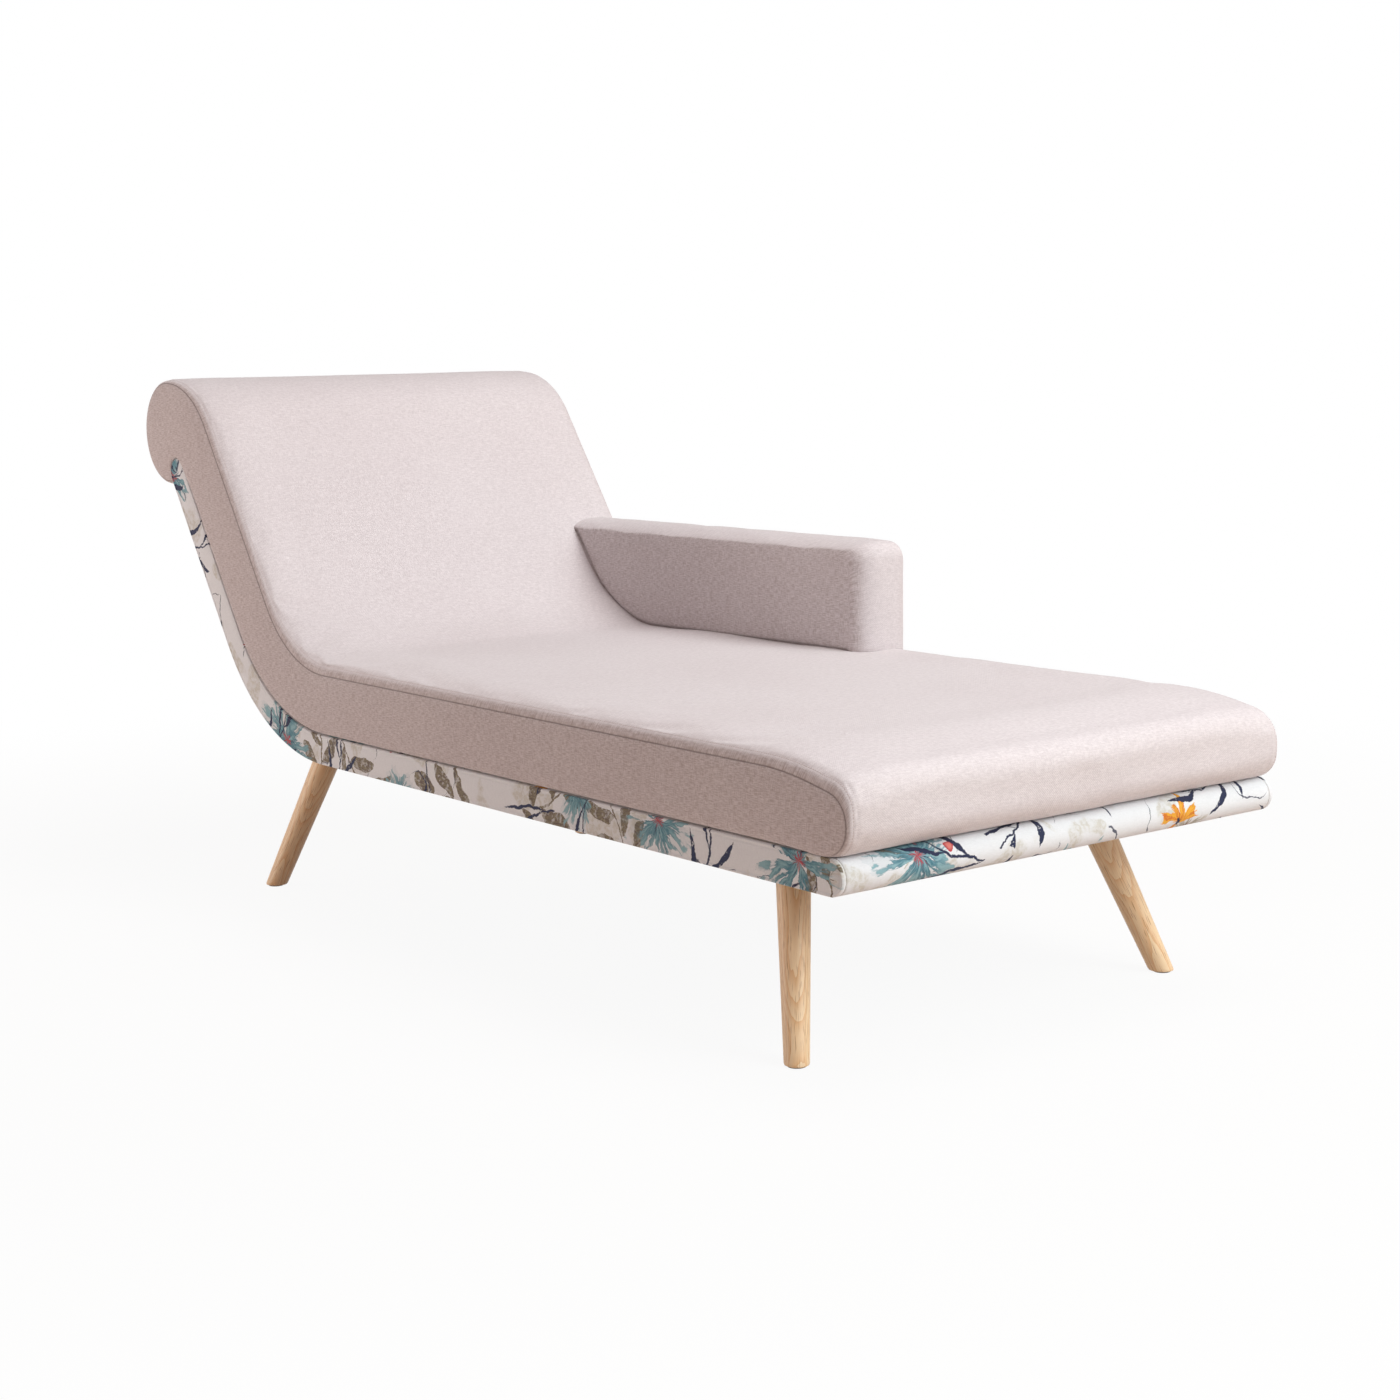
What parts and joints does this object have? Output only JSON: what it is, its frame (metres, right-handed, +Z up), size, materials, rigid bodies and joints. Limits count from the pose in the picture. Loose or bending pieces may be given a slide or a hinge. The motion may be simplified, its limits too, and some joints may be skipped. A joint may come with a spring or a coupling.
{
  "type": "divan",
  "caption": "One-armed divan: thick J-shaped pad with a scroll head in a thin J-shaped padded shell, one padded side arm, round splayed tapered legs.",
  "frame": {"origin": "on the floor under the centre of the whole divan's bounding box", "axes": "+X towards the foot end, +Y towards the side with the arm, +Z up"},
  "size_m": [1.8318, 0.8, 0.8422],
  "materials": {
    "leg_oak": "satin lacquered pale oak",
    "glide_felt": "pressed felt",
    "zinc_steel": "zinc plated",
    "plywood": "raw birch plywood",
    "frame_wood": "raw planed hardwood",
    "fibre_tube": "wound fibreboard",
    "printed_cloth": "smooth cotton with a painted flower print",
    "dust_cloth": "thin black non-woven cloth",
    "plain_cloth": "matt plain weave, pinkish grey",
    "foam": "open-cell foam",
    "webbing": "woven elastic strap"
  },
  "bodies": {
    "root": {"arm_base_rail": "frame_wood", "arm_coach_screws": "zinc_steel", "arm_cover": "plain_cloth", "arm_foam": "foam", "arm_front_post": "frame_wood", "arm_inner_board": "plywood", "arm_outer_board": "plywood", "arm_top_rail": "frame_wood", "leg_dowel_screws": "zinc_steel", "leg_front_far": "leg_oak", "leg_front_near": "leg_oak", "leg_glides": "glide_felt", "leg_rear_far": "leg_oak", "leg_rear_near": "leg_oak", "pad_back_webbing": "webbing", "pad_coach_screws": "zinc_steel", "pad_cover": "plain_cloth", "pad_foam": "foam", "pad_foot_rail": "frame_wood", "pad_head_rail": "frame_wood", "pad_knee_rail": "frame_wood", "pad_lumbar_rail": "frame_wood", "pad_scroll_former": "fibre_tube", "pad_seat_rails": "frame_wood", "pad_seat_webbing": "webbing", "pad_side_board_far": "plywood", "pad_side_board_near": "plywood", "pad_side_panel_far": "plain_cloth", "pad_side_panel_near": "plain_cloth", "shell_back_rail": "frame_wood", "shell_belly_panel": "plywood", "shell_deck_panel": "plywood", "shell_dust_cover": "dust_cloth", "shell_foot_nosing": "frame_wood", "shell_front_leg_rail": "frame_wood", "shell_head_nosing": "frame_wood", "shell_mid_rail": "frame_wood", "shell_rear_leg_rail": "frame_wood", "shell_side_band_far": "printed_cloth", "shell_side_band_near": "printed_cloth", "shell_side_rail_far": "frame_wood", "shell_side_rail_near": "frame_wood", "shell_wrap_cover": "printed_cloth"}
  },
  "joints": []
}
